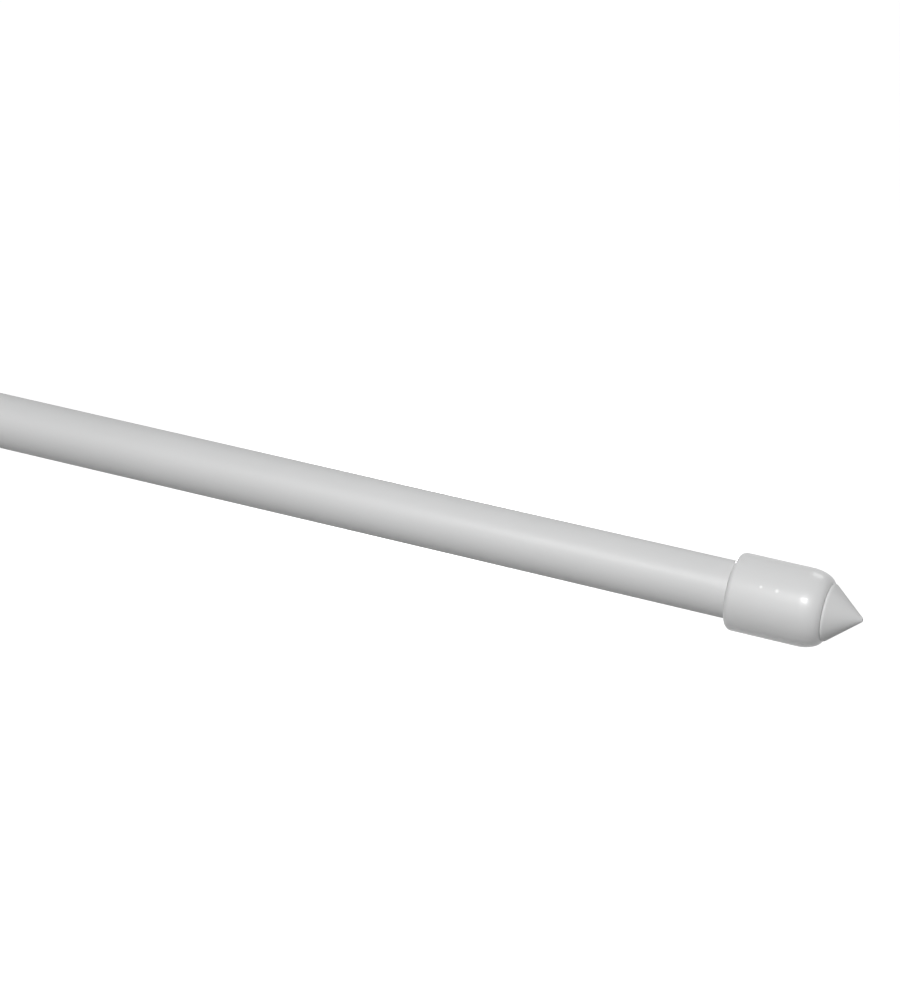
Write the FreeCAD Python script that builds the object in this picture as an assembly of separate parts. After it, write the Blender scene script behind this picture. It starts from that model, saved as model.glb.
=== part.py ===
import FreeCAD, Part
import math
import os

# Spring tension rod: two telescoping steel tubes that press two pointed ends against the sides of
# a window recess. All sizes are in millimetres.
#
# The rod lies along X. The origin is the tip of the outer tube's cone point, +X is the way that
# point faces, and the rest of the rod runs towards -X. A station is a distance from that tip along
# the rod, so what is at station s has x = -s.
#
# The outer tube slides over the inner tube to set the length. When the rod is twisted, a hexagonal
# spindle draws a wedge nut into the split jaws of a collet, which then grips the outer tube's bore.
# Behind the lock the spindle runs into the inner tube, where a compression spring between a pusher
# and a crimped stop plug presses the two ends apart.

# Tubes
OUTER_TUBE_DIAMETER = 10.0
OUTER_TUBE_WALL = 0.5
OUTER_TUBE_LENGTH = 345.0
TUBE_GAP = 0.2  # radial, between the outer tube's bore and the inner tube
INNER_TUBE_WALL = 0.5
INNER_TUBE_LENGTH = 310.0
ROD_LENGTH = 500.0  # tip to tip, as modelled
LIP_LENGTH = 1.2  # how far back the outer tube's mouth is rolled in
LIP_CLEARANCE = 0.1  # between the rolled mouth and the inner tube
LIP_EDGE = 0.5  # length of the straight bore inside the rolled mouth
BEAD_WIDTH = 2.6  # rolled grooves in the inner tube that hold its plugs
BEAD_FLOOR = 1.0
BEAD_DEPTH = 0.4

# Radial fits
PRESS_GAP = 0.02  # pieces pressed or glued together
SLIDE_GAP = 0.05  # pieces that turn or slide
LOOSE_GAP = 0.4  # pieces that pass a bore without being guided by it

# Cone point
CONE_INSET = 0.05  # how much smaller than the outer tube the cone's edge is, on the radius
CONE_LENGTH = 5.65  # from the rounded tip to the edge of the cone
CONE_TIP_RADIUS = 0.6
CONE_EDGE_RADIUS = 0.5
LAND_LENGTH = 0.25  # straight part behind the cone's edge
NECK_INSET = 0.4  # how much smaller than the cone's edge the neck in the sleeve's mouth is
SHANK_LENGTH = 11.0
SHANK_CHAMFER = 0.6
SHANK_WALL = 1.3
SHANK_CORE_DEPTH = 9.0
CRUSH_RIB_COUNT = 4
CRUSH_RIB_RADIUS = 0.5
CRUSH_RIB_HEIGHT = 0.18

# End sleeve
SLEEVE_WALL = 1.71  # over the outer tube
SLEEVE_LENGTH = 16.5
SHOULDER_LENGTH = 4.1
SHOULDER_HEIGHT = 2.0
SEAM_GAP = 0.1  # dark line between the cone point's land and the sleeve
LIP_THICKNESS = 2.9  # sleeve material ahead of the tube
SLEEVE_RIM_RADIUS = 1.05
SLEEVE_BORE_CHAMFER = 0.3

# Lock
THREAD_DIAMETER = 4.0
THREAD_PITCH = 0.7
UNLOCK_TURNS = 2
SPINDLE_FLATS = 4.0
SPINDLE_END_LENGTH = 1.0  # thread that stands out past the clip
SPINDLE_END_CHAMFER = 0.4
COLLET_LENGTH = 18.0
COLLET_CHAMFER = 0.4
JAW_LENGTH = 12.0
JAW_EDGE = 0.95  # thickness of a jaw at the collet's mouth
JAW_TAPER_LENGTH = 9.0
JAW_TAPER_ANGLE = 6.0
JAW_COUNT = 4
JAW_SLOT_WIDTH = 1.2
WEDGE_LENGTH = 9.0
WEDGE_PROUD = 2.0  # how far the tight nut stands out of the collet
KEY_SIDE_GAP = 0.15  # between a key of the wedge nut and the side of its slot
KEY_TIP_GAP = 0.35  # between a key and the outer tube
DRAG_RING_SECTION = 0.9  # square, cut from rubber tube
DRAG_RING_SIDE_GAP = 0.1
DRAG_RING_TIP_GAP = 0.025  # to the outer tube's bore
DRAG_RING_SETBACK = 3.0
WASHER_THICKNESS = 0.6
COLLAR_LENGTH = 5.0
COLLAR_CHAMFER = 0.4
COLLAR_PIN_DIAMETER = 1.5
COLLAR_PIN_SUNK = 0.1  # how far the pin's ends stay inside the collar
CLIP_WIDTH = 1.5
CLIP_THICKNESS = 0.5
CLIP_TOOTH_COUNT = 6
CLIP_SLOT_DEPTH = 0.8
CLIP_SLOT_WIDTH = 0.5
STOP_GAP = 0.1  # between faces that stop against each other

# Spring drive
SPRING_TRAVEL = 18.0
SPARE_TRAVEL = 2.0  # left between the bush and the collar at full travel
BUSH_FLANGE_THICKNESS = 1.5
BUSH_LENGTH = 10.0
PUSHER_LENGTH = 4.0
PLUG_CHAMFER = 0.4
TENON_DIAMETER = 2.4
TENON_HEAD_DIAMETER = 3.6
TENON_HEAD_LENGTH = 0.7
TENON_HEAD_CHAMFER = 0.3
SPRING_WIRE = 0.8
SPRING_LENGTH = 34.0  # between its seats, as modelled
SPRING_ACTIVE_COILS = 8
SPRING_CLOSED_COILS = 1  # at each end
SPRING_WIRE_FLATS = 6  # the round wire is drawn with this many sides
SEAT_THICKNESS = 0.5
BOSS_LENGTH = 2.5  # bosses that centre the spring
BOSS_GAP = 0.25
STOP_PLUG_LENGTH = 8.0

# Radii that follow from the sizes above
outer_radius = OUTER_TUBE_DIAMETER / 2
outer_bore = outer_radius - OUTER_TUBE_WALL
inner_radius = outer_bore - TUBE_GAP
inner_bore = inner_radius - INNER_TUBE_WALL
cone_radius = outer_radius - CONE_INSET
neck_radius = cone_radius - NECK_INSET
sleeve_radius = outer_radius + PRESS_GAP + SLEEVE_WALL
thread_radius = THREAD_DIAMETER / 2
spindle_corner = SPINDLE_FLATS / math.sqrt(3)
collet_radius = outer_bore - SLIDE_GAP
jaw_mouth = collet_radius - JAW_EDGE
collar_radius = outer_bore - LOOSE_GAP
spring_outer_radius = inner_bore - LOOSE_GAP
spring_mean_radius = spring_outer_radius - SPRING_WIRE / 2
boss_radius = spring_outer_radius - SPRING_WIRE - BOSS_GAP

# Stations of the ends, which are the same from either tip
land_end = CONE_LENGTH + LAND_LENGTH
mouth = land_end + SEAM_GAP
tube_end = mouth + LIP_THICKNESS
sleeve_back = mouth + SLEEVE_LENGTH

# Stations of the tubes and of what they hold
outer_tube_mouth = tube_end + OUTER_TUBE_LENGTH
inner_tube_back = ROD_LENGTH - tube_end
inner_tube_front = inner_tube_back - INNER_TUBE_LENGTH
bush_front = inner_tube_front - BUSH_FLANGE_THICKNESS
bush_back = inner_tube_front + BUSH_LENGTH
bush_bead = inner_tube_front + BUSH_LENGTH / 2
collar_back = bush_front - SPRING_TRAVEL - SPARE_TRAVEL
collar_front = collar_back - COLLAR_LENGTH
washer_front = collar_front - WASHER_THICKNESS
collet_front = washer_front - COLLET_LENGTH
drag_ring = washer_front - DRAG_RING_SETBACK
wedge_front = collet_front - WEDGE_PROUD
wedge_back = wedge_front + WEDGE_LENGTH
clip_back = wedge_front - UNLOCK_TURNS * THREAD_PITCH - STOP_GAP
clip_front = clip_back - CLIP_THICKNESS
spindle_front = clip_front - SPINDLE_END_LENGTH
pusher_front = bush_back + STOP_GAP
pusher_back = pusher_front + PUSHER_LENGTH
spring_front = pusher_back + SEAT_THICKNESS
spring_back = spring_front + SPRING_LENGTH
plug_front = spring_back + SEAT_THICKNESS
plug_back = plug_front + STOP_PLUG_LENGTH
plug_bead = plug_front + STOP_PLUG_LENGTH / 2

ORIGIN = FreeCAD.Vector(0, 0, 0)
AXIS = FreeCAD.Vector(1, 0, 0)
ACROSS = FreeCAD.Vector(0, 1, 0)
UP = FreeCAD.Vector(0, 0, 1)


def at(station, radius):
    """Point of an outline, by its station and its distance from the axis."""
    return FreeCAD.Vector(-station, 0, radius)


def end_of(edge):
    """Last point of an edge that an outline has taken in."""
    return edge.valueAt(edge.LastParameter)


def outline(start, *steps):
    """Closed face in the XZ plane. A step is a point, a curved edge, or an arc as (via, end)."""
    edges = []
    here = start
    for step in (*steps, start):
        if isinstance(step, Part.Edge):
            edges.append(step)
            here = end_of(step)
        elif isinstance(step, tuple):
            edges.append(Part.Arc(here, *step).toShape())
            here = step[-1]
        elif not step.isEqual(here, 1e-7):
            edges.append(Part.LineSegment(here, step).toShape())
            here = step
    return Part.Face(Part.Wire(edges))


def turned(start, *steps):
    """Solid made by turning an outline about the rod's axis."""
    return outline(start, *steps).revolve(ORIGIN, AXIS, 360)


def round_bar(front, back, radius):
    """Round bar on the axis between two stations."""
    return Part.makeCylinder(radius, back - front, at(back, 0), AXIS)


def hexagon_bar(front, back, across_flats):
    """Hexagonal bar on the axis, with a corner pointing up."""
    corner = at(back, across_flats / math.sqrt(3))
    turn = FreeCAD.Rotation(AXIS, 60)
    corners = [corner]
    for _ in range(6):
        corners.append(turn.multVec(corners[-1]))
    return Part.Face(Part.makePolygon(corners)).extrude(AXIS * (back - front))


def spokes(front, back, width, reach, count):
    """Flat bars that stand radially on the axis, evenly spaced round it."""
    first = Part.makeBox(back - front, width, reach, FreeCAD.Vector(-back, -width / 2, 0))
    return [first.rotated(ORIGIN, AXIS, 360 * k / count) for k in range(count)]


def ring(front, back, bore_radius, radius):
    """Plain ring on the axis."""
    return round_bar(front, back, radius).cut(round_bar(front, back, bore_radius))


def bead(station, surface):
    """Outline of a rolled groove in a surface of that radius, from front to back."""
    return [
        at(station - BEAD_WIDTH / 2, surface),
        at(station - BEAD_FLOOR / 2, surface - BEAD_DEPTH),
        at(station + BEAD_FLOOR / 2, surface - BEAD_DEPTH),
        at(station + BEAD_WIDTH / 2, surface),
    ]


def outer_tube():
    """Painted steel tube, its mouth rolled in to guide the inner tube."""
    lip_bore = inner_radius + LIP_CLEARANCE
    lip_nose = (lip_bore + outer_bore) / 2
    roll_start = outer_tube_mouth - LIP_LENGTH
    drop = outer_radius - lip_nose
    roll = (LIP_LENGTH ** 2 + drop ** 2) / (2 * drop)
    half_turn = math.asin(LIP_LENGTH / roll) / 2
    halfway = at(roll_start + roll * math.sin(half_turn), outer_radius - roll * (1 - math.cos(half_turn)))
    return turned(
        at(tube_end, outer_bore),
        at(tube_end, outer_radius),
        at(roll_start, outer_radius),
        (halfway, at(outer_tube_mouth, lip_nose)),
        at(outer_tube_mouth, lip_bore),
        at(outer_tube_mouth - LIP_EDGE, lip_bore),
        at(roll_start, outer_bore),
    )


def inner_tube():
    """Painted steel tube with two rolled grooves that lock the bush and the stop plug in it."""
    outside = bead(bush_bead, inner_radius) + bead(plug_bead, inner_radius)
    inside = bead(bush_bead, inner_bore) + bead(plug_bead, inner_bore)
    return turned(
        at(inner_tube_front, inner_bore),
        at(inner_tube_front, inner_radius),
        *outside,
        at(inner_tube_back, inner_radius),
        at(inner_tube_back, inner_bore),
        *reversed(inside),
    )


def end_sleeve(tube_radius):
    """Moulded sleeve pressed over a tube's end, with an oval shoulder down to its mouth."""
    mouth_bore = neck_radius + PRESS_GAP
    bore = tube_radius + PRESS_GAP
    barrel_start = mouth + SHOULDER_LENGTH
    barrel_end = sleeve_back - SLEEVE_RIM_RADIUS
    centre = at(barrel_start, sleeve_radius - SHOULDER_HEIGHT)
    oval = Part.Ellipse(at(mouth, centre.z), at(barrel_start, sleeve_radius), centre)
    shoulder = Part.ArcOfEllipse(oval, 0, math.pi / 2).toShape()
    rim_centre = at(barrel_end, sleeve_radius - SLEEVE_RIM_RADIUS)
    rim_middle = rim_centre + (UP - AXIS).normalize() * SLEEVE_RIM_RADIUS
    return turned(
        at(mouth, mouth_bore),
        at(mouth, centre.z),
        shoulder,
        at(barrel_end, sleeve_radius),
        (rim_middle, at(sleeve_back, rim_centre.z)),
        at(sleeve_back, bore + SLEEVE_BORE_CHAMFER),
        at(sleeve_back - SLEEVE_BORE_CHAMFER, bore),
        at(tube_end, bore),
        at(tube_end, mouth_bore),
    )


def cone_point(tube_bore):
    """Moulded point: a blunt cone, a neck in the sleeve's mouth, and a ribbed shank in the tube."""
    # The tip is a ball that the cone's side touches, at this turn from the axis.
    run = CONE_LENGTH - CONE_TIP_RADIUS
    turn = math.atan2(cone_radius, run) + math.acos(CONE_TIP_RADIUS / math.hypot(run, cone_radius))
    on_tip = [at(CONE_TIP_RADIUS * (1 + math.cos(a)), CONE_TIP_RADIUS * math.sin(a))
              for a in ((turn + math.pi) / 2, turn)]
    shank = tube_bore - PRESS_GAP - CRUSH_RIB_HEIGHT
    shank_end = tube_end + SHANK_LENGTH
    core = shank - SHANK_WALL
    core_end = shank_end - SHANK_CORE_DEPTH
    body = turned(
        ORIGIN,
        tuple(on_tip),
        at(CONE_LENGTH, cone_radius),
        at(land_end, cone_radius),
        at(land_end, neck_radius),
        at(tube_end, neck_radius),
        at(tube_end, shank),
        at(shank_end - SHANK_CHAMFER, shank),
        at(shank_end, shank - SHANK_CHAMFER),
        at(shank_end, core),
        at(core_end + core, core),
        at(core_end, 0),
    )
    edges = [edge for edge in body.Edges if is_ring(edge, CONE_LENGTH, cone_radius)]
    body = body.makeFillet(CONE_EDGE_RADIUS, edges)
    rib_end = shank_end - SHANK_CHAMFER
    rib_foot = at(rib_end, tube_bore - PRESS_GAP - CRUSH_RIB_RADIUS)
    rib = Part.makeCylinder(CRUSH_RIB_RADIUS, rib_end - tube_end, rib_foot, AXIS)
    ribs = [rib.rotated(ORIGIN, AXIS, 360 * k / CRUSH_RIB_COUNT) for k in range(CRUSH_RIB_COUNT)]
    return body.fuse(ribs)


def is_ring(edge, station, radius):
    """True for a full circle about the axis at a station."""
    if edge.Degenerated or not isinstance(edge.Curve, Part.Circle):
        return False
    circle = edge.Curve
    return abs(circle.Center.x + station) < 1e-6 and abs(circle.Radius - radius) < 1e-6


def hex_spindle():
    """Hexagonal steel bar, turned down for the thread at one end and riveted at the other."""
    head = TENON_HEAD_DIAMETER / 2
    head_end = pusher_back + TENON_HEAD_LENGTH
    thread = turned(
        at(spindle_front, 0),
        at(spindle_front, thread_radius - SPINDLE_END_CHAMFER),
        at(spindle_front + SPINDLE_END_CHAMFER, thread_radius),
        at(collar_front, thread_radius),
        at(collar_front, 0),
    )
    tenon = turned(
        at(pusher_front, 0),
        at(pusher_front, TENON_DIAMETER / 2),
        at(pusher_back, TENON_DIAMETER / 2),
        at(pusher_back, head),
        at(head_end - TENON_HEAD_CHAMFER, head),
        at(head_end, head - TENON_HEAD_CHAMFER),
        at(head_end, 0),
    )
    shank = hexagon_bar(collar_front, pusher_front, SPINDLE_FLATS)
    hole = collar_pin_bar(PRESS_GAP, OUTER_TUBE_DIAMETER)
    return shank.fuse([thread, tenon]).cut(hole)


def collar_pin_bar(gap, length):
    """Upright round bar through the middle of the thrust collar."""
    middle = (collar_front + collar_back) / 2
    return Part.makeCylinder(COLLAR_PIN_DIAMETER / 2 + gap, length, at(middle, -length / 2), UP)


def collar_pin():
    """Steel pin that holds the collar on the spindle."""
    return collar_pin_bar(0, 2 * (collar_radius - COLLAR_PIN_SUNK))


def thrust_collar():
    """Steel ring pinned to the spindle, which takes the pull of the wedge nut."""
    bore = spindle_corner + PRESS_GAP
    body = turned(
        at(collar_front, bore),
        at(collar_front, collar_radius - COLLAR_CHAMFER),
        at(collar_front + COLLAR_CHAMFER, collar_radius),
        at(collar_back - COLLAR_CHAMFER, collar_radius),
        at(collar_back, collar_radius - COLLAR_CHAMFER),
        at(collar_back, bore),
    )
    return body.cut(collar_pin_bar(PRESS_GAP, OUTER_TUBE_DIAMETER))


def expansion_collet():
    """Nylon collet: a solid collar with a ring groove, and slotted jaws with a tapered bore."""
    bore = thread_radius + SLIDE_GAP
    jaw_end = collet_front + JAW_LENGTH
    throat = jaw_mouth - JAW_TAPER_LENGTH * math.tan(math.radians(JAW_TAPER_ANGLE))
    groove = DRAG_RING_SECTION / 2 + DRAG_RING_SIDE_GAP
    groove_floor = outer_bore - DRAG_RING_TIP_GAP - DRAG_RING_SECTION - SLIDE_GAP
    body = turned(
        at(collet_front, jaw_mouth),
        at(collet_front, collet_radius - COLLET_CHAMFER),
        at(collet_front + COLLET_CHAMFER, collet_radius),
        at(drag_ring - groove, collet_radius),
        at(drag_ring - groove, groove_floor),
        at(drag_ring + groove, groove_floor),
        at(drag_ring + groove, collet_radius),
        at(washer_front - COLLET_CHAMFER, collet_radius),
        at(washer_front, collet_radius - COLLET_CHAMFER),
        at(washer_front, bore),
        at(jaw_end, bore),
        at(jaw_end, throat),
        at(collet_front + JAW_TAPER_LENGTH, throat),
    )
    return body.cut(spokes(collet_front, jaw_end, JAW_SLOT_WIDTH, outer_radius, JAW_COUNT))


def collet_drag_ring():
    """Rubber ring whose drag on the bore keeps the collet still while the rod is twisted."""
    radius = outer_bore - DRAG_RING_TIP_GAP
    half = DRAG_RING_SECTION / 2
    return ring(drag_ring - half, drag_ring + half, radius - DRAG_RING_SECTION, radius)


def wedge_nut():
    """Brass taper nut with keys that ride in the collet's slots and keep it from turning."""
    bore = thread_radius + SLIDE_GAP
    mouth_radius = jaw_mouth - SLIDE_GAP
    depth = wedge_back - collet_front
    nose = mouth_radius - depth * math.tan(math.radians(JAW_TAPER_ANGLE))
    body = turned(
        at(wedge_front, 0),
        at(wedge_front, mouth_radius),
        at(collet_front, mouth_radius),
        at(wedge_back, nose),
        at(wedge_back, 0),
    )
    key_width = JAW_SLOT_WIDTH - 2 * KEY_SIDE_GAP
    keys = spokes(wedge_front, wedge_back, key_width, outer_bore - KEY_TIP_GAP, JAW_COUNT)
    return body.fuse(keys).cut(round_bar(wedge_front, wedge_back, bore))


def spindle_end_clip():
    """Spring steel push-on clip with teeth round the thread, the nut's end stop."""
    bore = thread_radius + PRESS_GAP
    slots = spokes(clip_front, clip_back, CLIP_SLOT_WIDTH, bore + CLIP_SLOT_DEPTH, CLIP_TOOTH_COUNT)
    return ring(clip_front, clip_back, bore, thread_radius + CLIP_WIDTH).cut(slots)


def plug_outline(front, back, bead_station):
    """Outline of a plug crimped in the inner tube, from its front edge to its back edge."""
    radius = inner_bore - PRESS_GAP
    return [
        at(front, radius),
        *bead(bead_station, radius),
        at(back - PLUG_CHAMFER, radius),
        at(back, radius - PLUG_CHAMFER),
    ]


def spindle_bush():
    """Nylon bush in the inner tube's end; its hexagonal bore turns the spindle."""
    flange = outer_bore - 2 * SLIDE_GAP
    body = turned(
        at(bush_front, 0),
        at(bush_front, flange - PLUG_CHAMFER),
        at(bush_front + PLUG_CHAMFER, flange),
        at(inner_tube_front, flange),
        *plug_outline(inner_tube_front, bush_back, bush_bead),
        at(bush_back, 0),
    )
    return body.cut(hexagon_bar(bush_front, bush_back, SPINDLE_FLATS + 2 * SLIDE_GAP))


def spring_pusher():
    """Nylon piston riveted to the spindle, with a boss that centres the spring."""
    radius = inner_bore - 2 * SLIDE_GAP
    tenon_bore = TENON_DIAMETER / 2 + PRESS_GAP
    head_bore = TENON_HEAD_DIAMETER / 2 + PRESS_GAP
    return turned(
        at(pusher_front, tenon_bore),
        at(pusher_front, radius - PLUG_CHAMFER),
        at(pusher_front + PLUG_CHAMFER, radius),
        at(pusher_back, radius),
        at(pusher_back, boss_radius),
        at(pusher_back + BOSS_LENGTH, boss_radius),
        at(pusher_back + BOSS_LENGTH, head_bore),
        at(pusher_back, head_bore),
        at(pusher_back, tenon_bore),
    )


def spring_stop_plug():
    """Nylon plug crimped in the inner tube, with a boss that centres the spring."""
    return turned(
        at(plug_front - BOSS_LENGTH, 0),
        at(plug_front - BOSS_LENGTH, boss_radius),
        at(plug_front, boss_radius),
        *plug_outline(plug_front, plug_back, plug_bead),
        at(plug_back, 0),
    )


def seat_washer(front):
    """Steel washer between the spring and a boss's shoulder."""
    return ring(front, front + SEAT_THICKNESS, boss_radius + SLIDE_GAP, spring_outer_radius)


def coils(start, pitch, count, turns_before):
    """Helix along Z that goes on from the turns before it."""
    helix = Part.makeHelix(pitch, pitch * count, spring_mean_radius)
    helix.rotate(ORIGIN, UP, 360 * turns_before)
    helix.translate(UP * start)
    return helix.Edges[0]


def pressure_spring():
    """Compression spring with closed ends, its round wire drawn with flats."""
    wire = SPRING_WIRE / 2
    closed_length = SPRING_CLOSED_COILS * SPRING_WIRE
    open_length = SPRING_LENGTH - SPRING_WIRE - 2 * closed_length
    open_start = wire + closed_length
    open_turns = SPRING_CLOSED_COILS + SPRING_ACTIVE_COILS
    path = Part.Wire([
        coils(wire, SPRING_WIRE, SPRING_CLOSED_COILS, 0),
        coils(open_start, open_length / SPRING_ACTIVE_COILS, SPRING_ACTIVE_COILS, SPRING_CLOSED_COILS),
        coils(open_start + open_length, SPRING_WIRE, SPRING_CLOSED_COILS, open_turns),
    ])
    first_coil = path.OrderedEdges[0]
    start = first_coil.valueAt(first_coil.FirstParameter)
    along = first_coil.tangentAt(first_coil.FirstParameter)
    outward = FreeCAD.Vector(start.x, start.y, 0).normalize()
    corner = FreeCAD.Rotation(along, 180 / SPRING_WIRE_FLATS).multVec(outward * wire)
    turn = FreeCAD.Rotation(along, 360 / SPRING_WIRE_FLATS)
    corners = [corner]
    for _ in range(SPRING_WIRE_FLATS):
        corners.append(turn.multVec(corners[-1]))
    section = Part.makePolygon([start + corner for corner in corners])
    spring = path.makePipeShell([section], True, True, 0)
    spring.rotate(ORIGIN, ACROSS, -90)
    spring.translate(at(spring_front, 0))
    return spring


def at_inner_end(shape):
    """Turns an end piece round, from the outer tube's tip to the inner tube's tip."""
    return shape.rotated(at(ROD_LENGTH / 2, 0), UP, 180)


def pieces():
    """Every piece of the rod by name."""
    thrust_washer = ring(washer_front, collar_front, thread_radius + SLIDE_GAP, collar_radius)
    return {
        "outer_tube": outer_tube(),
        "outer_end_sleeve": end_sleeve(outer_radius),
        "outer_cone_point": cone_point(outer_bore),
        "inner_tube": inner_tube(),
        "inner_end_sleeve": at_inner_end(end_sleeve(inner_radius)),
        "inner_cone_point": at_inner_end(cone_point(inner_bore)),
        "hex_spindle": hex_spindle(),
        "spindle_end_clip": spindle_end_clip(),
        "wedge_nut": wedge_nut(),
        "expansion_collet": expansion_collet(),
        "collet_drag_ring": collet_drag_ring(),
        "thrust_washer": thrust_washer,
        "thrust_collar": thrust_collar(),
        "collar_pin": collar_pin(),
        "spindle_bush": spindle_bush(),
        "spring_pusher": spring_pusher(),
        "front_spring_washer": seat_washer(pusher_back),
        "pressure_spring": pressure_spring(),
        "back_spring_washer": seat_washer(spring_back),
        "spring_stop_plug": spring_stop_plug(),
    }


def main():
    os.makedirs("parts", exist_ok=True)
    for name, shape in pieces().items():
        shape.exportStep("parts/" + name + ".step")
        state = "valid" if shape.isValid() else "not valid"
        print(name, len(shape.Solids), "solid", state, round(shape.Volume, 1), "mm3")


if __name__ == "__main__":
    main()
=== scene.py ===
import bpy
import math
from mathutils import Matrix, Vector


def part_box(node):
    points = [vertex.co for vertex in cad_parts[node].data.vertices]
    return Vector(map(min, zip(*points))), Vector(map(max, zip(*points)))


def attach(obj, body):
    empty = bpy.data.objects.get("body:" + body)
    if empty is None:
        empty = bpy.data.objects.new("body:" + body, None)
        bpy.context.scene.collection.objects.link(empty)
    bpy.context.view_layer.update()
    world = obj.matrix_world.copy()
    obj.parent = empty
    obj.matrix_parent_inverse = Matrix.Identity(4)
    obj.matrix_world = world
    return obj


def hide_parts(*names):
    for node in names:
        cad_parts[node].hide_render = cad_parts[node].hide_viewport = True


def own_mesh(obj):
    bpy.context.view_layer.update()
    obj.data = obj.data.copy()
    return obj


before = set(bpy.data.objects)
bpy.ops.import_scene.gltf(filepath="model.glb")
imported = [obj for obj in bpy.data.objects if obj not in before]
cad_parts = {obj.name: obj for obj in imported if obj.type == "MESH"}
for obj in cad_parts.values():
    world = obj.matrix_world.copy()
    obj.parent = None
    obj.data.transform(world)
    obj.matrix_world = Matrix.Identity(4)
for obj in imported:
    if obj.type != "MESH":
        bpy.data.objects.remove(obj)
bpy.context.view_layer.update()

# Camera, as in the photograph: one end of the rod comes towards the lens from the left. The rod is
# level along X in the model, and the lens looks down on it from in front of that end.
MM = 0.001
VIEW_AZIMUTH = math.radians(23.4)
VIEW_ELEVATION = math.radians(31.9)
CAMERA_PLACE = Vector((94.05, -389.9, 269.5)) * MM
LENS_MM = 103.7
SENSOR_MM = 36
NEAR_LIMIT = 10 * MM

bpy.ops.object.select_all(action="DESELECT")
bpy.ops.object.camera_add(location=CAMERA_PLACE, rotation=(math.pi / 2 - VIEW_ELEVATION, 0, VIEW_AZIMUTH))
camera = bpy.context.object
camera.name = "camera"
camera.data.lens = LENS_MM
camera.data.sensor_width = SENSOR_MM
camera.data.clip_start = NEAR_LIMIT
bpy.context.scene.camera = camera
bpy.context.scene.view_settings.view_transform = "Standard"

# Studio: a wide white table far below the rod and a white room, so that the picture's ground is
# white and no shadow meets the rod. The room shows white to the lens and in reflections.
FLOOR_DROP = 260 * MM
FLOOR_SIZE = 12.0
FLOOR_COLOUR = (0.36, 0.36, 0.36, 1)
FLOOR_ROUGHNESS = 0.9
FLOOR_GLOW = 0.9
ROOM_LIGHT = 0.21
WHITE = (1, 1, 1, 1)


def new_material(name):
    """Empty node material with its Principled shader."""
    material = bpy.data.materials.new(name)
    material.use_nodes = True
    return material, material.node_tree.nodes, material.node_tree.links


def seen_directly(nodes, links):
    """1 for rays from the lens, and for those that gloss or glass sends on."""
    path = nodes.new("ShaderNodeLightPath")
    either = nodes.new("ShaderNodeMath")
    either.operation = "MAXIMUM"
    links.new(path.outputs["Is Camera Ray"], either.inputs[0])
    links.new(path.outputs["Is Glossy Ray"], either.inputs[1])
    any_of = nodes.new("ShaderNodeMath")
    any_of.operation = "MAXIMUM"
    links.new(either.outputs[0], any_of.inputs[0])
    links.new(path.outputs["Is Transmission Ray"], any_of.inputs[1])
    return any_of.outputs[0]


bpy.ops.mesh.primitive_plane_add(size=FLOOR_SIZE, location=(0, 0, -FLOOR_DROP))
floor = bpy.context.object
floor.name = "floor"
floor_white, nodes, links = new_material("floor_white")
shader = nodes["Principled BSDF"]
shader.inputs["Base Color"].default_value = FLOOR_COLOUR
shader.inputs["Roughness"].default_value = FLOOR_ROUGHNESS
shader.inputs["Emission Color"].default_value = WHITE
glow = nodes.new("ShaderNodeMath")
glow.operation = "MULTIPLY"
glow.inputs[1].default_value = FLOOR_GLOW
links.new(seen_directly(nodes, links), glow.inputs[0])
links.new(glow.outputs[0], shader.inputs["Emission Strength"])
floor.data.materials.append(floor_white)

room = bpy.data.worlds.new("white_room")
room.use_nodes = True
bpy.context.scene.world = room
nodes = room.node_tree.nodes
links = room.node_tree.links
strength = nodes.new("ShaderNodeMapRange")
strength.inputs["To Min"].default_value = ROOM_LIGHT
strength.inputs["To Max"].default_value = 1
links.new(seen_directly(nodes, links), strength.inputs["Value"])
nodes["Background"].inputs["Color"].default_value = WHITE
links.new(strength.outputs["Result"], nodes["Background"].inputs["Strength"])

# Lamps: a gridded softbox above the lens lights the end of the rod and falls off along it, and a
# second one takes over towards the far end. A wide one low in front fills the shade, one behind
# catches the top of the sleeve's shoulder, and a small one near the table lights the far side.
SLEEVE_SHOULDER = Vector((-9.25, -4.7, 4.7)) * MM
KEY_PLACE = Vector((22.8, -493.2, 637.4)) * MM
KEY_AIM = Vector((-45, 0, 0)) * MM
KEY_SIZE = 200 * MM
KEY_POWER = 0.45
KEY_SPREAD = math.radians(60)
FAR_PLACE = Vector((-448, -488.5, 632.7)) * MM
FAR_AIM = Vector((-480, 0, 0)) * MM
FAR_POWER = 0.26
FAR_SPREAD = math.radians(44)
FILL_PLACE = Vector((-9.25, -749.7, 296.2)) * MM
FILL_SIZE = 500 * MM
FILL_POWER = 0.21
FILL_SPREAD = math.radians(90)
BACK_PLACE = Vector((30.7, 682.5, 412.3)) * MM
BACK_SIZE = 250 * MM
BACK_POWER = 0.08
BACK_SPREAD = math.radians(60)
REAR_PLACE = Vector((-250, 440, -235)) * MM
REAR_AIM = Vector((-250, 0, 0)) * MM
REAR_SIZE = 40 * MM
REAR_POWER = 0.7
REAR_SPREAD = math.radians(170)


def softbox(name, place, aim, size, power, spread):
    """Square lamp at a place, turned to face a point of the rod."""
    turn = (place - aim).to_track_quat("Z", "Y").to_euler()
    bpy.ops.object.light_add(type="AREA", location=place, rotation=turn)
    lamp = bpy.context.object
    lamp.name = name
    lamp.data.shape = "SQUARE"
    lamp.data.size = size
    lamp.data.energy = power
    lamp.data.spread = spread


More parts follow.
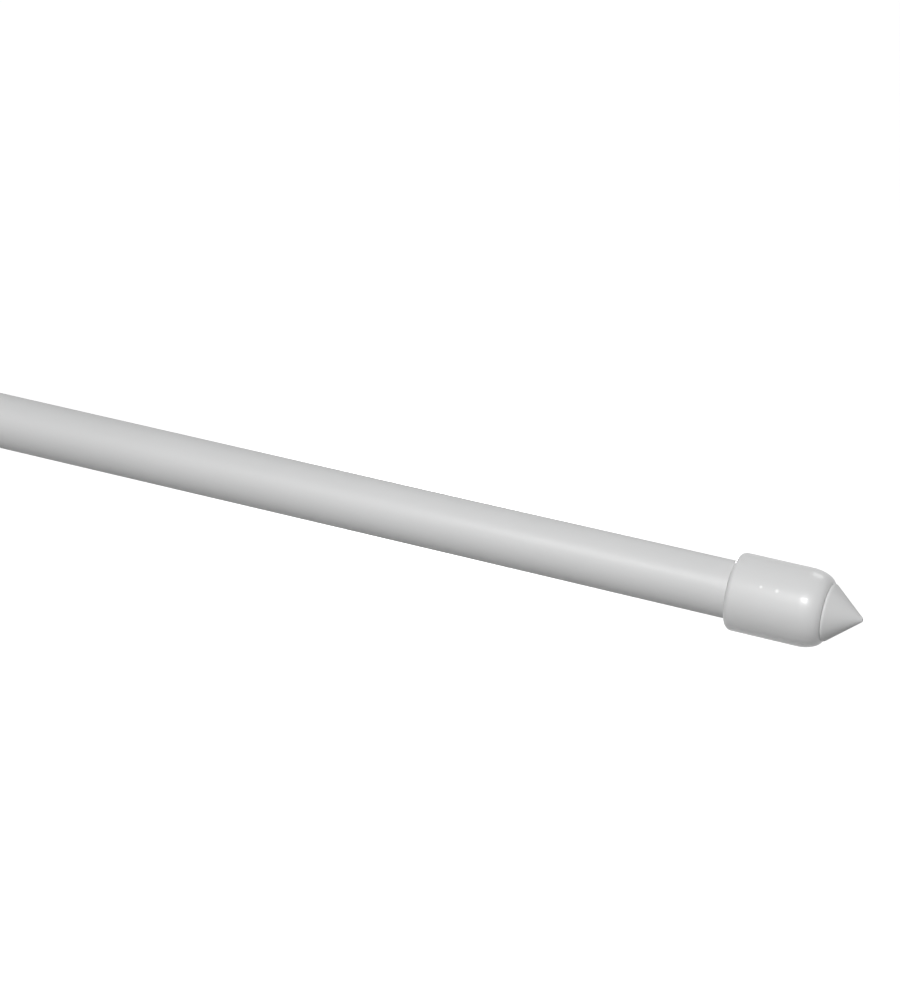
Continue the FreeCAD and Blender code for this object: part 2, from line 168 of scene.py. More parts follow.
softbox("key_softbox", KEY_PLACE, KEY_AIM, KEY_SIZE, KEY_POWER, KEY_SPREAD)
softbox("far_softbox", FAR_PLACE, FAR_AIM, KEY_SIZE, FAR_POWER, FAR_SPREAD)
softbox("fill_softbox", FILL_PLACE, SLEEVE_SHOULDER, FILL_SIZE, FILL_POWER, FILL_SPREAD)
softbox("back_softbox", BACK_PLACE, SLEEVE_SHOULDER, BACK_SIZE, BACK_POWER, BACK_SPREAD)
softbox("rear_softbox", REAR_PLACE, REAR_AIM, REAR_SIZE, REAR_POWER, REAR_SPREAD)

# Outer tube: thin-walled steel tube drawn to 10 mm and painted white. Its mouth is rolled in to
# guide the inner tube, and the other end is pressed into the sleeve.
TUBE_WALL = 0.5 * MM
LIP_LENGTH = 1.2 * MM
LIP_BORE = 4.4 * MM
LIP_EDGE = 0.5 * MM
ROLL_STEPS = 8
TUBE_EDGE = 0.05 * MM
ROUND_SIDES = 128
AXIS_RADIUS = 2e-7  # ring that stands for a point on the axis until it is merged
MERGE_DISTANCE = 1e-6
SLIVER = MERGE_DISTANCE / 5
EDGE_ANGLE = math.radians(30)
EDGE_SEGMENTS = 2
DRIFT_DETAIL = 3
DRIFT_LOW = 0.3
DRIFT_HIGH = 0.7
GRAIN_DETAIL = 2
PAINT_DARK = (0.67, 0.673, 0.673, 1)
PAINT_LIGHT = (0.73, 0.733, 0.735, 1)
PAINT_PATCH = 35 * MM
PAINT_GLOSS = (0.42, 0.5)
PAINT_GRAIN = 0.5 * MM
PAINT_RELIEF = 0.0012 * MM
PAINT_SPECULAR = 0.4


def arc(centre, half_sizes, first, last, steps):
    """Points (x, radius) along an arc or a quarter oval, by the turn from +X in degrees."""
    points = []
    for step in range(steps + 1):
        turn = math.radians(first + (last - first) * step / steps)
        x = centre[0] + half_sizes[0] * math.cos(turn)
        radius = centre[1] + half_sizes[1] * math.sin(turn)
        points.append((x, radius))
    return points


def turned(name, profile, sides=ROUND_SIDES):
    """Turned piece: a ring of edges drawn from point to point of a profile of (x, radius).

    A profile that starts and ends on the axis is solid, any other closes on its first point.
    """
    x, radius = profile[0]
    bpy.ops.object.select_all(action="DESELECT")
    bpy.ops.mesh.primitive_circle_add(vertices=sides, radius=max(radius, AXIS_RADIUS), location=(x, 0, 0),
                                      rotation=(0, math.pi / 2, 0))
    piece = bpy.context.object
    piece.name = name
    bpy.ops.object.transform_apply()
    bpy.ops.object.mode_set(mode="EDIT")
    bpy.ops.mesh.select_all(action="SELECT")
    solid = radius == 0 and profile[-1][1] == 0
    stations = profile[1:] if solid else profile[1:] + profile[:1]
    for next_x, next_radius in stations:
        bpy.ops.mesh.extrude_region_move(TRANSFORM_OT_translate={"value": (next_x - x, 0, 0)})
        growth = max(next_radius, AXIS_RADIUS) / max(radius, AXIS_RADIUS)
        bpy.ops.transform.resize(value=(1, growth, growth), center_override=(next_x, 0, 0))
        x, radius = next_x, next_radius
    bpy.ops.mesh.select_all(action="SELECT")
    bpy.ops.mesh.remove_doubles(threshold=MERGE_DISTANCE)
    bpy.ops.mesh.normals_make_consistent(inside=False)
    bpy.ops.object.mode_set(mode="OBJECT")
    return piece


def tidy_mesh(piece):
    """Closes slivers, turns the faces outwards and smooths all but the sharp edges."""
    bpy.ops.object.select_all(action="DESELECT")
    piece.select_set(True)
    bpy.context.view_layer.objects.active = piece
    bpy.ops.object.mode_set(mode="EDIT")
    bpy.ops.mesh.select_all(action="SELECT")
    bpy.ops.mesh.dissolve_degenerate(threshold=SLIVER)
    bpy.ops.mesh.normals_make_consistent(inside=False)
    bpy.ops.object.mode_set(mode="OBJECT")
    bpy.ops.object.shade_smooth_by_angle(angle=EDGE_ANGLE)


def eased(piece, width):
    """Breaks the sharp edges of a piece with a small round and smooths the rest."""
    bevel = piece.modifiers.new("edges", "BEVEL")
    bevel.width = width
    bevel.segments = EDGE_SEGMENTS
    bevel.limit_method = "ANGLE"
    bevel.angle_limit = EDGE_ANGLE
    bevel.use_clamp_overlap = True
    bpy.context.view_layer.objects.active = piece
    bpy.ops.object.modifier_apply(modifier=bevel.name)
    tidy_mesh(piece)


def finish(name, dark, light, patch, gloss, grain, height):
    """Finish whose colour and gloss drift from patch to patch, with a fine grain pressed into it.

    gloss gives the least and the most roughness, and height says how deep the grain is.
    """
    material, nodes, links = new_material(name)
    shader = nodes["Principled BSDF"]
    place = nodes.new("ShaderNodeTexCoord").outputs["Object"]
    drift = nodes.new("ShaderNodeTexNoise")
    drift.inputs["Scale"].default_value = 1 / patch
    drift.inputs["Detail"].default_value = DRIFT_DETAIL
    links.new(place, drift.inputs["Vector"])
    tint = nodes.new("ShaderNodeValToRGB")
    tint.color_ramp.elements[0].color = dark
    tint.color_ramp.elements[1].color = light
    links.new(drift.outputs["Fac"], tint.inputs["Fac"])
    links.new(tint.outputs["Color"], shader.inputs["Base Color"])
    roughness = nodes.new("ShaderNodeMapRange")
    roughness.inputs["From Min"].default_value = DRIFT_LOW
    roughness.inputs["From Max"].default_value = DRIFT_HIGH
    roughness.inputs["To Min"].default_value = gloss[0]
    roughness.inputs["To Max"].default_value = gloss[1]
    links.new(drift.outputs["Fac"], roughness.inputs["Value"])
    links.new(roughness.outputs["Result"], shader.inputs["Roughness"])
    pores = nodes.new("ShaderNodeTexNoise")
    pores.inputs["Scale"].default_value = 1 / grain
    pores.inputs["Detail"].default_value = GRAIN_DETAIL
    links.new(place, pores.inputs["Vector"])
    relief = nodes.new("ShaderNodeBump")
    relief.name = "relief"
    relief.inputs["Strength"].default_value = 1
    relief.inputs["Distance"].default_value = height
    links.new(pores.outputs["Fac"], relief.inputs["Height"])
    links.new(relief.outputs["Normal"], shader.inputs["Normal"])
    return material


tube_low, tube_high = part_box("outer_tube")
tube_radius = tube_high.z
tube_bore = tube_radius - TUBE_WALL
tube_mouth = tube_low.x
lip_nose = (LIP_BORE + tube_bore) / 2
lip_drop = tube_radius - lip_nose
roll_radius = (LIP_LENGTH ** 2 + lip_drop ** 2) / (2 * lip_drop)
roll_turn = math.degrees(math.asin(LIP_LENGTH / roll_radius))
roll_centre = (tube_mouth + LIP_LENGTH, tube_radius - roll_radius)
outer_tube = turned("outer_tube_drawn", [
    (tube_high.x, tube_bore),
    (tube_high.x, tube_radius),
    *arc(roll_centre, (roll_radius, roll_radius), 90, 90 + roll_turn, ROLL_STEPS),
    (tube_mouth, LIP_BORE),
    (tube_mouth + LIP_EDGE, LIP_BORE),
    (tube_mouth + LIP_LENGTH, tube_bore),
])
eased(outer_tube, TUBE_EDGE)
tube_paint = finish("white_tube_paint", PAINT_DARK, PAINT_LIGHT, PAINT_PATCH, PAINT_GLOSS, PAINT_GRAIN,
                    PAINT_RELIEF)
shader = tube_paint.node_tree.nodes["Principled BSDF"]
shader.inputs["Specular IOR Level"].default_value = PAINT_SPECULAR
outer_tube.data.materials.append(tube_paint)
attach(outer_tube, "outer_half")
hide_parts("outer_tube")

# End sleeves: white plastic mouldings pressed over the tubes' ends, glossy from a polished mould.
# Each has an oval shoulder down to its mouth and a round rim behind. Two painted highlights, spots
# of lighter colour that stand for glints of light, sit on the one at the near end.
SHOULDER_LENGTH = 4.1 * MM
SHOULDER_HEIGHT = 2.0 * MM
SHOULDER_STEPS = 16
SLEEVE_RIM = 1.05 * MM
SLEEVE_RIM_STEPS = 10
SLEEVE_LIP = 2.9 * MM  # from the mouth to the tube's end
MOUTH_BORE = 4.57 * MM
BORE_CHAMFER = 0.3 * MM
OUTER_SLEEVE_BORE = 5.02 * MM
INNER_SLEEVE_BORE = 4.32 * MM
MOULD_EDGE = 0.04 * MM
SLEEVE_DARK = (0.68, 0.683, 0.683, 1)
SLEEVE_LIGHT = (0.735, 0.738, 0.74, 1)
SLEEVE_PATCH = 14 * MM
SLEEVE_GLOSS = (0.36, 0.44)
SLEEVE_GRAIN = 2.5 * MM
SLEEVE_RELIEF = 0.003 * MM
SLEEVE_SPECULAR = 0.6
SLEEVE_COAT = 0.3
COAT_ROUGHNESS = 0.05
COAT_IOR = 1.4
# Painted highlights: two spots on the near sleeve whose colour is lightened to stand for glints of light.
PAINTED_GLINTS = (((-13.79, -4.53, 4.97), 0.5), ((-16.58, -4.48, 5.0), 0.4))  # middle and radius, in mm
PAINTED_GLINT_COLOUR = (0.97, 0.973, 0.975, 1)


def end_sleeve(name, node, mouth, back, bore):
    """Sleeve between the mouth and the back, which say by their order which way it faces."""
    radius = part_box(node)[1].z
    way = 1 if mouth > back else -1
    shoulder_end = mouth - way * SHOULDER_LENGTH
    rim_start = back + way * SLEEVE_RIM
    seat = mouth - way * SLEEVE_LIP
    shoulder = arc((shoulder_end, radius - SHOULDER_HEIGHT), (way * SHOULDER_LENGTH, SHOULDER_HEIGHT),
                   0, 90, SHOULDER_STEPS)
    rim = arc((rim_start, radius - SLEEVE_RIM), (way * SLEEVE_RIM, SLEEVE_RIM), 90, 180, SLEEVE_RIM_STEPS)
    sleeve = turned(name, [
        (mouth, MOUTH_BORE),
        *shoulder,
        *rim,
        (back, bore + BORE_CHAMFER),
        (back + way * BORE_CHAMFER, bore),
        (seat, bore),
        (seat, MOUTH_BORE),
    ])
    eased(sleeve, MOULD_EDGE)
    sleeve.data.materials.append(sleeve_plastic)
    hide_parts(node)
    return sleeve


def add_painted_glints(material):
    """Paints a soft highlight into the plastic's colour around each glint's middle."""
    nodes = material.node_tree.nodes
    links = material.node_tree.links
    place = nodes.new("ShaderNodeTexCoord").outputs["Object"]
    base_colour = nodes["Principled BSDF"].inputs["Base Color"]
    for middle, radius in PAINTED_GLINTS:
        centred = nodes.new("ShaderNodeMapping")
        centred.vector_type = "TEXTURE"
        centred.inputs["Location"].default_value = Vector(middle) * MM
        centred.inputs["Scale"].default_value = (radius * MM, radius * MM, radius * MM)
        links.new(place, centred.inputs["Vector"])
        ball = nodes.new("ShaderNodeTexGradient")
        ball.gradient_type = "SPHERICAL"
        links.new(centred.outputs["Vector"], ball.inputs["Vector"])
        share = nodes.new("ShaderNodeMapRange")
        share.interpolation_type = "SMOOTHSTEP"
        links.new(ball.outputs["Fac"], share.inputs["Value"])
        glint = nodes.new("ShaderNodeMixRGB")
        glint.inputs["Color2"].default_value = PAINTED_GLINT_COLOUR
        links.new(share.outputs["Result"], glint.inputs["Fac"])
        links.new(base_colour.links[0].from_socket, glint.inputs["Color1"])
        links.new(glint.outputs["Color"], base_colour)


sleeve_plastic = finish("glossy_white_moulding", SLEEVE_DARK, SLEEVE_LIGHT, SLEEVE_PATCH, SLEEVE_GLOSS,
                        SLEEVE_GRAIN, SLEEVE_RELIEF)
shader = sleeve_plastic.node_tree.nodes["Principled BSDF"]
shader.inputs["Specular IOR Level"].default_value = SLEEVE_SPECULAR
shader.inputs["Coat Weight"].default_value = SLEEVE_COAT
shader.inputs["Coat Roughness"].default_value = COAT_ROUGHNESS
shader.inputs["Coat IOR"].default_value = COAT_IOR
# The near sleeve's colour gets two painted highlights that stand for glints of light.
add_painted_glints(sleeve_plastic)

sleeve_low, sleeve_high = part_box("outer_end_sleeve")
outer_sleeve = end_sleeve("outer_sleeve_moulding", "outer_end_sleeve", sleeve_high.x, sleeve_low.x,
                          OUTER_SLEEVE_BORE)
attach(outer_sleeve, "outer_half")
sleeve_low, sleeve_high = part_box("inner_end_sleeve")
inner_sleeve = end_sleeve("inner_sleeve_moulding", "inner_end_sleeve", sleeve_low.x, sleeve_high.x,
                          INNER_SLEEVE_BORE)
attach(inner_sleeve, "inner_half")

# Cone points: white plastic mouldings that press against the walls, satin from a plain mould. Each
# has a blunt cone, a neck in the sleeve's mouth and a hollow shank with four ribs that crush
# against the tube's bore as it is driven in.
CONE_LENGTH = 5.65 * MM
CONE_RADIUS = 4.95 * MM
CONE_TIP = 0.6 * MM
CONE_TIP_STEPS = 8
CONE_EDGE = 0.75 * MM
CONE_EDGE_STEPS = 6
RIM_END = 5.98 * MM
NECK_RADIUS = 4.55 * MM
NECK_END = 8.9 * MM
SHANK_END = 19.9 * MM
SHANK_INSET = 0.2 * MM
SHANK_CHAMFER = 0.6 * MM
SHANK_WALL = 1.3 * MM
SHANK_CORE = 9.0 * MM
RIB_COUNT = 4
RIB_RADIUS = 0.5 * MM
RIB_INSET = 0.02 * MM
RIB_SIDES = 24
POINT_DARK = (0.715, 0.718, 0.718, 1)
POINT_LIGHT = (0.78, 0.783, 0.785, 1)
POINT_PATCH = 9 * MM
POINT_GLOSS = (0.4, 0.5)
POINT_GRAIN = 0.35 * MM
POINT_RELIEF = 0.0015 * MM
POINT_SPECULAR = 0.25


def carved(piece, tool, operation):
    """Joins a tool to a piece or cuts it away, and throws the tool away."""
    boolean = piece.modifiers.new("carve", "BOOLEAN")
    boolean.operation = operation
    boolean.solver = "EXACT"
    boolean.object = tool
    bpy.context.view_layer.objects.active = piece
    bpy.ops.object.modifier_apply(modifier=boolean.name)
    bpy.data.meshes.remove(tool.data)


def bar(start, end, radius, sides, offset=(0, 0)):
    """Plain bar along X with flat sides, its middle set off from the axis by (y, z)."""
    bpy.ops.object.select_all(action="DESELECT")
    bpy.ops.mesh.primitive_cylinder_add(vertices=sides, radius=radius, depth=abs(end - start),
                                        location=((start + end) / 2, *offset),
                                        rotation=(math.pi / 2, 0, math.pi / 2))
    bpy.ops.object.transform_apply()
    return bpy.context.object


def cone_point(name, node, tip, way, bore):
    """Point whose tip is at x = tip and faces way, with its shank in a tube of that bore."""
    def at(depth, radius):
        return (tip - way * depth, radius)

    run = CONE_LENGTH - CONE_TIP
    tip_share = CONE_TIP / math.hypot(run, CONE_RADIUS)
    slope = math.degrees(math.atan2(CONE_RADIUS, run) + math.acos(tip_share)) - 90
    edge_depth = CONE_LENGTH + CONE_EDGE * math.tan(math.radians(slope) / 2)
    shank = bore - SHANK_INSET
    core = shank - SHANK_WALL
    core_end = SHANK_END - SHANK_CORE
    point = turned(name, [
        (tip, 0),
        *arc(at(CONE_TIP, 0), (way * CONE_TIP, CONE_TIP), 0, 90 - slope, CONE_TIP_STEPS)[1:],
        *arc(at(edge_depth, CONE_RADIUS - CONE_EDGE), (way * CONE_EDGE, CONE_EDGE), 90 - slope, 90,
             CONE_EDGE_STEPS),
        at(RIM_END, CONE_RADIUS),
        at(RIM_END, NECK_RADIUS),
        at(NECK_END, NECK_RADIUS),
        at(NECK_END, shank),
        at(SHANK_END - SHANK_CHAMFER, shank),
        at(SHANK_END, shank - SHANK_CHAMFER),
        at(SHANK_END, core),
        at(core_end + core, core),
        at(core_end, 0),
    ])
    eased(point, MOULD_EDGE)
    rib_start = at(NECK_END, 0)[0]
    rib_end = at(SHANK_END - SHANK_CHAMFER, 0)[0]
    rib_middle = bore - RIB_INSET - RIB_RADIUS
    for k in range(RIB_COUNT):
        turn = 2 * math.pi * k / RIB_COUNT
        offset = (rib_middle * math.sin(turn), rib_middle * math.cos(turn))
        rib = bar(rib_start, rib_end, RIB_RADIUS, RIB_SIDES, offset)
        carved(point, rib, "UNION")
    tidy_mesh(point)
    point.data.materials.clear()
    point.data.materials.append(point_plastic)
    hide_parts(node)
    return point


point_plastic = finish("satin_white_moulding", POINT_DARK, POINT_LIGHT, POINT_PATCH, POINT_GLOSS, POINT_GRAIN,
                       POINT_RELIEF)
shader = point_plastic.node_tree.nodes["Principled BSDF"]
shader.inputs["Specular IOR Level"].default_value = POINT_SPECULAR
outer_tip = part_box("outer_cone_point")[1].x
outer_point = cone_point("outer_point_moulding", "outer_cone_point", outer_tip, 1, tube_bore)
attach(outer_point, "outer_half")

# Inner tube: a thinner painted tube that slides in the outer one. Two grooves rolled round it hold
# the bush and the stop plug. Its far end is pressed into the other sleeve and holds the other point.
INNER_TUBE_WALL = 0.5 * MM
GROOVE_STATIONS = (-186.1 * MM, -234.2 * MM)
GROOVE_WIDTH = 2.6 * MM
GROOVE_DEPTH = 0.4 * MM
GROOVE_STEPS = 12

inner_low, inner_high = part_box("inner_tube")
inner_radius = inner_high.z
inner_bore = inner_radius - INNER_TUBE_WALL


def grooved(surface):
    """Outline of the tube's surface from its front end to its back end, with soft grooves."""
    points = [(inner_high.x, surface)]
    for station in GROOVE_STATIONS:
        for step in range(GROOVE_STEPS + 1):
            share = step / GROOVE_STEPS
            drop = GROOVE_DEPTH * (1 - math.cos(2 * math.pi * share)) / 2
            points.append((station + GROOVE_WIDTH * (0.5 - share), surface - drop))
    return points + [(inner_low.x, surface)]


inner_tube = turned("inner_tube_drawn", grooved(inner_radius) + grooved(inner_bore)[::-1])
eased(inner_tube, TUBE_EDGE)
inner_tube.data.materials.append(tube_paint)
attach(inner_tube, "inner_half")
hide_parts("inner_tube")

inner_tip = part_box("inner_cone_point")[0].x
inner_point = cone_point("inner_point_moulding", "inner_cone_point", inner_tip, -1, inner_bore)
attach(inner_point, "inner_half")

# Spindle: a bright hexagonal steel bar. One end is turned down and threaded for the wedge nut, the
# other is turned to a tenon and riveted over the pusher, and a pin crosses it in the collar.
THREAD_RADIUS = 2.0 * MM
THREAD_PITCH = 0.7 * MM
THREAD_DEPTH = 0.429 * MM
THREAD_CREST = 0.0875 * MM
THREAD_FLANK = 0.248 * MM
THREAD_STEPS = 36
SPARE_TURNS = 3  # past the thread's ends, cut off again
CUT_REACH = MERGE_DISTANCE / 10
SPINDLE_FRONT = -131.0 * MM
SHANK_FRONT = -154.6 * MM
SHANK_BACK = -191.2 * MM
THREAD_CHAMFER = 0.4 * MM
RELIEF_LENGTH = 0.5 * MM
RELIEF_RADIUS = 1.55 * MM
HEXAGON_WIDTH = 4.0 * MM
HEXAGON_CORNER = HEXAGON_WIDTH / math.sqrt(3)
HEXAGON_EDGE = 0.08 * MM
HEXAGON_EDGE_STEPS = 3
TENON_RADIUS = 1.2 * MM
TENON_SIDES = 64
PUSHER_BACK = -195.2 * MM
HEAD_RADIUS = 1.8 * MM
HEAD_LENGTH = 0.7 * MM
HEAD_ROUND = 0.3 * MM
HEAD_STEPS = 6
PIN_STATION = -157.1 * MM
PIN_HOLE_RADIUS = 0.77 * MM
PIN_HOLE_SIDES = 48
PIN_DRILL_LENGTH = 10 * MM
OVERLAP = 0.3 * MM
METAL_PATCH = 6 * MM
METAL_GRAIN = 0.2 * MM
METAL_RELIEF = 0.0008 * MM
MARK_RELIEF = 0.001 * MM
MARK_DISTORTION = 2
STEEL_DARK = (0.5, 0.5, 0.51, 1)
STEEL_LIGHT = (0.7, 0.7, 0.71, 1)
STEEL_GLOSS = (0.22, 0.36)
STEEL_LAY = 0.12 * MM


def drawn_line(name, points):
    """Chain of edges in the XZ plane through points of (x, radius), from a plane merged to a point."""
    x, radius = points[0]
    bpy.ops.object.select_all(action="DESELECT")
    bpy.ops.mesh.primitive_plane_add(size=MM, location=(x, 0, radius))
    line = bpy.context.object
    line.name = name
    bpy.ops.object.transform_apply()
    bpy.ops.object.mode_set(mode="EDIT")
    bpy.ops.mesh.select_all(action="SELECT")
    bpy.ops.mesh.merge(type="CENTER")
    for next_x, next_radius in points[1:]:
        step = (next_x - x, 0, next_radius - radius)
        bpy.ops.mesh.extrude_vertices_move(TRANSFORM_OT_translate={"value": step})
        x, radius = next_x, next_radius
    bpy.ops.object.mode_set(mode="OBJECT")
    return line


def threaded_rod(name, start, end):
    """Threaded rod between two stations: one turn's outline wound along X, then cut square."""
    root = THREAD_RADIUS - THREAD_DEPTH
    crest = THREAD_CREST / 2
    foot = crest + THREAD_FLANK
    thread = drawn_line(name, [
        (start - THREAD_PITCH * 1.5, root),
        (start - THREAD_PITCH - foot, root),
        (start - THREAD_PITCH - crest, THREAD_RADIUS),
        (start - THREAD_PITCH + crest, THREAD_RADIUS),
        (start - THREAD_PITCH + foot, root),
        (start - THREAD_PITCH / 2, root),
    ])
    winding = thread.modifiers.new("winding", "SCREW")
    winding.axis = "X"
    winding.angle = 2 * math.pi
    winding.screw_offset = THREAD_PITCH
    winding.iterations = math.ceil((end - start) / THREAD_PITCH) + SPARE_TURNS
    winding.steps = THREAD_STEPS
    winding.render_steps = THREAD_STEPS
    bpy.context.view_layer.objects.active = thread
    bpy.ops.object.modifier_apply(modifier=winding.name)
    bpy.ops.object.mode_set(mode="EDIT")
    for station, keeps_low in ((start, False), (end, True)):
        bpy.ops.mesh.select_all(action="SELECT")
        bpy.ops.mesh.remove_doubles(threshold=MERGE_DISTANCE)
        bpy.ops.mesh.bisect(plane_co=(station, 0, 0), plane_no=(1, 0, 0), use_fill=True,
                            clear_inner=not keeps_low, clear_outer=keeps_low, threshold=CUT_REACH)
    bpy.ops.mesh.select_all(action="SELECT")
    bpy.ops.mesh.normals_make_consistent(inside=False)
    bpy.ops.object.mode_set(mode="OBJECT")
    return thread


thread_start = SHANK_FRONT - OVERLAP
spindle = threaded_rod("spindle_turned", thread_start, SPINDLE_FRONT)
blank = turned("thread_blank", [
    (SPINDLE_FRONT + OVERLAP, 0),
    (SPINDLE_FRONT + OVERLAP, THREAD_RADIUS - THREAD_CHAMFER - OVERLAP),
    (SPINDLE_FRONT - THREAD_CHAMFER - OVERLAP, THREAD_RADIUS + OVERLAP),
    (SHANK_FRONT + RELIEF_LENGTH + OVERLAP, THREAD_RADIUS + OVERLAP),
    (SHANK_FRONT + RELIEF_LENGTH, RELIEF_RADIUS),
    (thread_start - OVERLAP, RELIEF_RADIUS),
    (thread_start - OVERLAP, 0),
])
carved(spindle, blank, "INTERSECT")
hexagon = bar(SHANK_BACK, SHANK_FRONT, HEXAGON_CORNER, sides=6)
bpy.context.view_layer.objects.active = hexagon
corners = hexagon.modifiers.new("drawn_corners", "BEVEL")
corners.width = HEXAGON_EDGE
corners.segments = HEXAGON_EDGE_STEPS
corners.limit_method = "ANGLE"
bpy.ops.object.modifier_apply(modifier=corners.name)
carved(spindle, hexagon, "UNION")
tenon = turned("tenon", [
    (SHANK_BACK + OVERLAP, 0),
    (SHANK_BACK + OVERLAP, TENON_RADIUS),
    (PUSHER_BACK, TENON_RADIUS),
    (PUSHER_BACK, HEAD_RADIUS),
    *arc((PUSHER_BACK - HEAD_LENGTH + HEAD_ROUND, HEAD_RADIUS - HEAD_ROUND), (HEAD_ROUND, HEAD_ROUND),
         90, 180, HEAD_STEPS),
    (PUSHER_BACK - HEAD_LENGTH, 0),
], sides=TENON_SIDES)
carved(spindle, tenon, "UNION")
bpy.ops.object.select_all(action="DESELECT")
bpy.ops.mesh.primitive_cylinder_add(vertices=PIN_HOLE_SIDES, radius=PIN_HOLE_RADIUS, depth=PIN_DRILL_LENGTH,
                                    location=(PIN_STATION, 0, 0))
pin_drill = bpy.context.object
bpy.ops.object.transform_apply()
carved(spindle, pin_drill, "DIFFERENCE")
tidy_mesh(spindle)


def metal(name, dark, light, gloss, lay):
    """Bare metal, with fine marks that the tool left across the axis at a spacing of lay."""
    material = finish(name, dark, light, METAL_PATCH, gloss, METAL_GRAIN, METAL_RELIEF)
    nodes = material.node_tree.nodes
    links = material.node_tree.links
    nodes["Principled BSDF"].inputs["Metallic"].default_value = 1
    marks = nodes.new("ShaderNodeTexWave")
    marks.bands_direction = "X"
    marks.inputs["Scale"].default_value = math.pi / (10 * lay)  # the node repeats every pi / (10 * Scale)
    marks.inputs["Distortion"].default_value = MARK_DISTORTION
    links.new(nodes.new("ShaderNodeTexCoord").outputs["Object"], marks.inputs["Vector"])
    bump = nodes.new("ShaderNodeBump")
    bump.inputs["Distance"].default_value = MARK_RELIEF
    links.new(marks.outputs["Fac"], bump.inputs["Height"])
    links.new(bump.outputs["Normal"], nodes["relief"].inputs["Normal"])
    return material


bright_steel = metal("zinc_plated_steel", STEEL_DARK, STEEL_LIGHT, STEEL_GLOSS, STEEL_LAY)
spindle.data.materials.clear()
spindle.data.materials.append(bright_steel)
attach(spindle, "spindle")
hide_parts("hex_spindle")

# Washers, collar and pin: steel turned or stamped and zinc plated. The collar takes the pull of the
# thread through the washer, and the pin holds it on the spindle.


def refinish(material, *node_names):
    """Gives CAD nodes their finish."""
    for node_name in node_names:
        for material_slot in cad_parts[node_name].material_slots:
            material_slot.material = material


refinish(bright_steel, "thrust_washer", "thrust_collar", "collar_pin")
refinish(bright_steel, "front_spring_washer", "back_spring_washer")

# End clip: a push-on ring stamped from spring steel and left bright. Its teeth bite the thread, and
# it stops the nut from running off the spindle's end.
CLIP_DARK = (0.33, 0.33, 0.35, 1)
CLIP_LIGHT = (0.5, 0.5, 0.52, 1)
CLIP_GLOSS = (0.3, 0.42)
CLIP_LAY = 0.4 * MM

clip_steel = metal("stamped_spring_steel", CLIP_DARK, CLIP_LIGHT, CLIP_GLOSS, CLIP_LAY)
refinish(clip_steel, "spindle_end_clip")

# Wedge nut: a taper turned from brass bar, tapped through, with four keys that slide in the slots of
# the collet.
BRASS_DARK = (0.62, 0.44, 0.2, 1)
BRASS_LIGHT = (0.78, 0.6, 0.32, 1)
BRASS_GLOSS = (0.24, 0.38)
BRASS_LAY = 0.16 * MM

nut_brass = metal("turned_brass", BRASS_DARK, BRASS_LIGHT, BRASS_GLOSS, BRASS_LAY)
refinish(nut_brass, "wedge_nut")

# Collet and drag ring: jaws moulded from black nylon, and a square rubber ring cut from tube that
# keeps the collet still in the bore.
COLLET_DARK = (0.02, 0.02, 0.022, 1)
COLLET_LIGHT = (0.045, 0.045, 0.048, 1)
COLLET_PATCH = 8 * MM
COLLET_GLOSS = (0.42, 0.55)
COLLET_GRAIN = 0.4 * MM
COLLET_RELIEF = 0.004 * MM
RUBBER_DARK = (0.012, 0.012, 0.012, 1)
RUBBER_LIGHT = (0.03, 0.03, 0.03, 1)
RUBBER_PATCH = 3 * MM
RUBBER_GLOSS = (0.62, 0.78)
RUBBER_GRAIN = 0.15 * MM
RUBBER_RELIEF = 0.006 * MM

black_nylon = finish("black_nylon", COLLET_DARK, COLLET_LIGHT, COLLET_PATCH, COLLET_GLOSS, COLLET_GRAIN,
                     COLLET_RELIEF)
refinish(black_nylon, "expansion_collet")
nitrile_rubber = finish("nitrile_rubber", RUBBER_DARK, RUBBER_LIGHT, RUBBER_PATCH, RUBBER_GLOSS, RUBBER_GRAIN,
                        RUBBER_RELIEF)
refinish(nitrile_rubber, "collet_drag_ring")

# Bush, pusher and stop plug: moulded from natural nylon, cream and slightly clear. The bush turns
# the spindle, the pusher slides on the tube's bore, and the plug holds the far end of the spring.
NYLON_DARK = (0.6, 0.57, 0.48, 1)
NYLON_LIGHT = (0.74, 0.71, 0.62, 1)
NYLON_PATCH = 10 * MM
NYLON_GLOSS = (0.36, 0.48)
NYLON_GRAIN = 0.5 * MM
NYLON_RELIEF = 0.003 * MM
NYLON_CLEARNESS = 0.25
NYLON_GLOW_DEPTH = 0.6 * MM

cream_nylon = finish("cream_nylon", NYLON_DARK, NYLON_LIGHT, NYLON_PATCH, NYLON_GLOSS, NYLON_GRAIN,
                     NYLON_RELIEF)
shader = cream_nylon.node_tree.nodes["Principled BSDF"]
shader.inputs["Subsurface Weight"].default_value = NYLON_CLEARNESS
shader.inputs["Subsurface Scale"].default_value = NYLON_GLOW_DEPTH
refinish(cream_nylon, "spindle_bush", "spring_pusher", "spring_stop_plug")

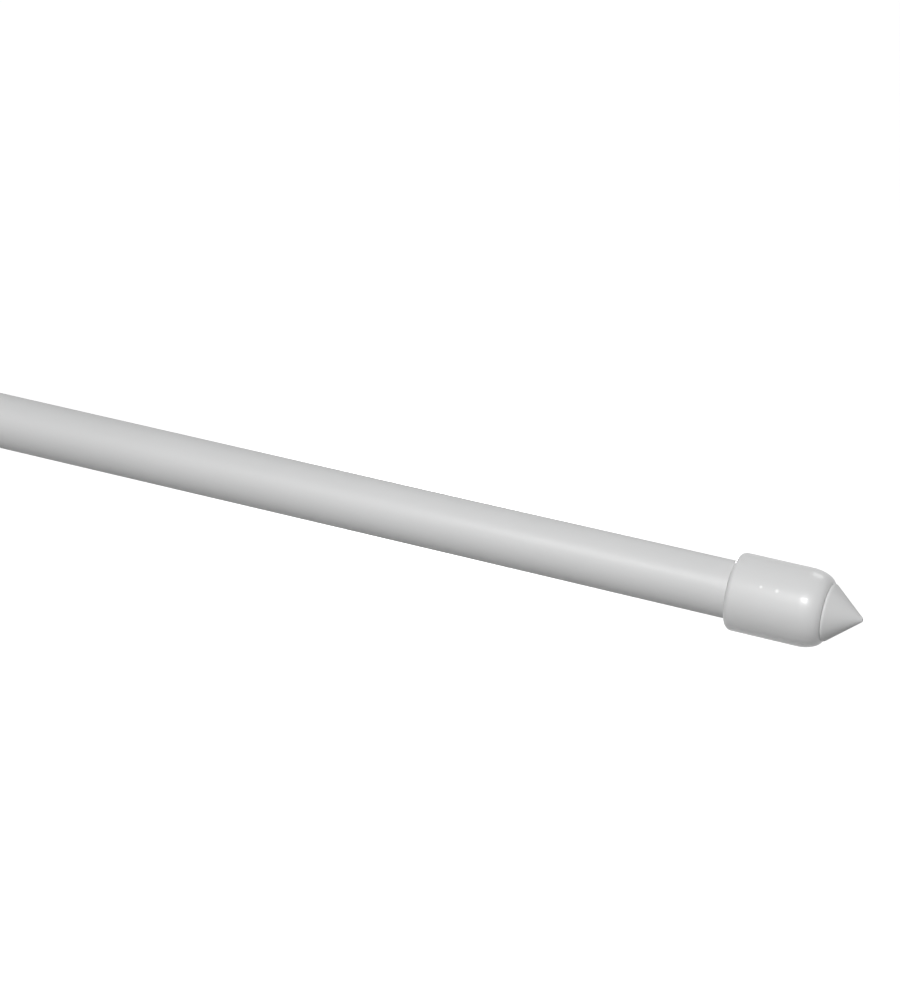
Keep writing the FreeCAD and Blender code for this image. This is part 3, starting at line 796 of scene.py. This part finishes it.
# Pressure spring: round spring wire wound right-handed with closed ends. It stands between two
# washers in the inner tube and presses the rod's ends apart.
WIRE_RADIUS = 0.4 * MM
WIRE_SIDES = 14
COIL_RADIUS = 3.0 * MM
COIL_STEPS = 36
SPRING_FRONT = -195.7 * MM
SPRING_LENGTH = 34.0 * MM
TURNS = 10
CLOSED_TURNS = 0.75  # at each end, before the coils open
OPENING_TURNS = 0.5
WIRE_DARK = (0.42, 0.42, 0.44, 1)
WIRE_LIGHT = (0.6, 0.6, 0.62, 1)
WIRE_GLOSS = (0.18, 0.3)
WIRE_LAY = 0.3 * MM


def coil_rise(turn):
    """Share of the open coils' rise that a turn of the wire has."""
    from_end = min(turn, TURNS - turn)
    share = min(max((from_end - CLOSED_TURNS) / OPENING_TURNS, 0), 1)
    return share * share * (3 - 2 * share)


bpy.ops.object.select_all(action="DESELECT")
bpy.ops.mesh.primitive_circle_add(vertices=WIRE_SIDES, radius=WIRE_RADIUS, fill_type="NGON",
                                  location=(SPRING_FRONT - SPRING_LENGTH + WIRE_RADIUS, 0, COIL_RADIUS),
                                  rotation=(math.pi / 2, 0, 0))
spring = bpy.context.object
spring.name = "spring_wound"
bpy.ops.object.transform_apply()
closed_rise = 2 * WIRE_RADIUS / COIL_STEPS
rises = [coil_rise((step + 0.5) / COIL_STEPS) for step in range(TURNS * COIL_STEPS)]
open_rise = (SPRING_LENGTH - 2 * WIRE_RADIUS - closed_rise * len(rises)) / sum(rises)
bpy.ops.object.mode_set(mode="EDIT")
bpy.ops.mesh.select_all(action="SELECT")
for rise in rises:
    advance = (closed_rise + open_rise * rise, 0, 0)
    bpy.ops.mesh.extrude_region_move(TRANSFORM_OT_translate={"value": advance})
    bpy.ops.transform.rotate(value=-2 * math.pi / COIL_STEPS, orient_axis="X", center_override=(0, 0, 0))
bpy.ops.object.mode_set(mode="OBJECT")
tidy_mesh(spring)
spring_steel = metal("bright_spring_wire", WIRE_DARK, WIRE_LIGHT, WIRE_GLOSS, WIRE_LAY)
spring.data.materials.append(spring_steel)
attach(spring, "spindle")
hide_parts("pressure_spring")
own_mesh(spring)
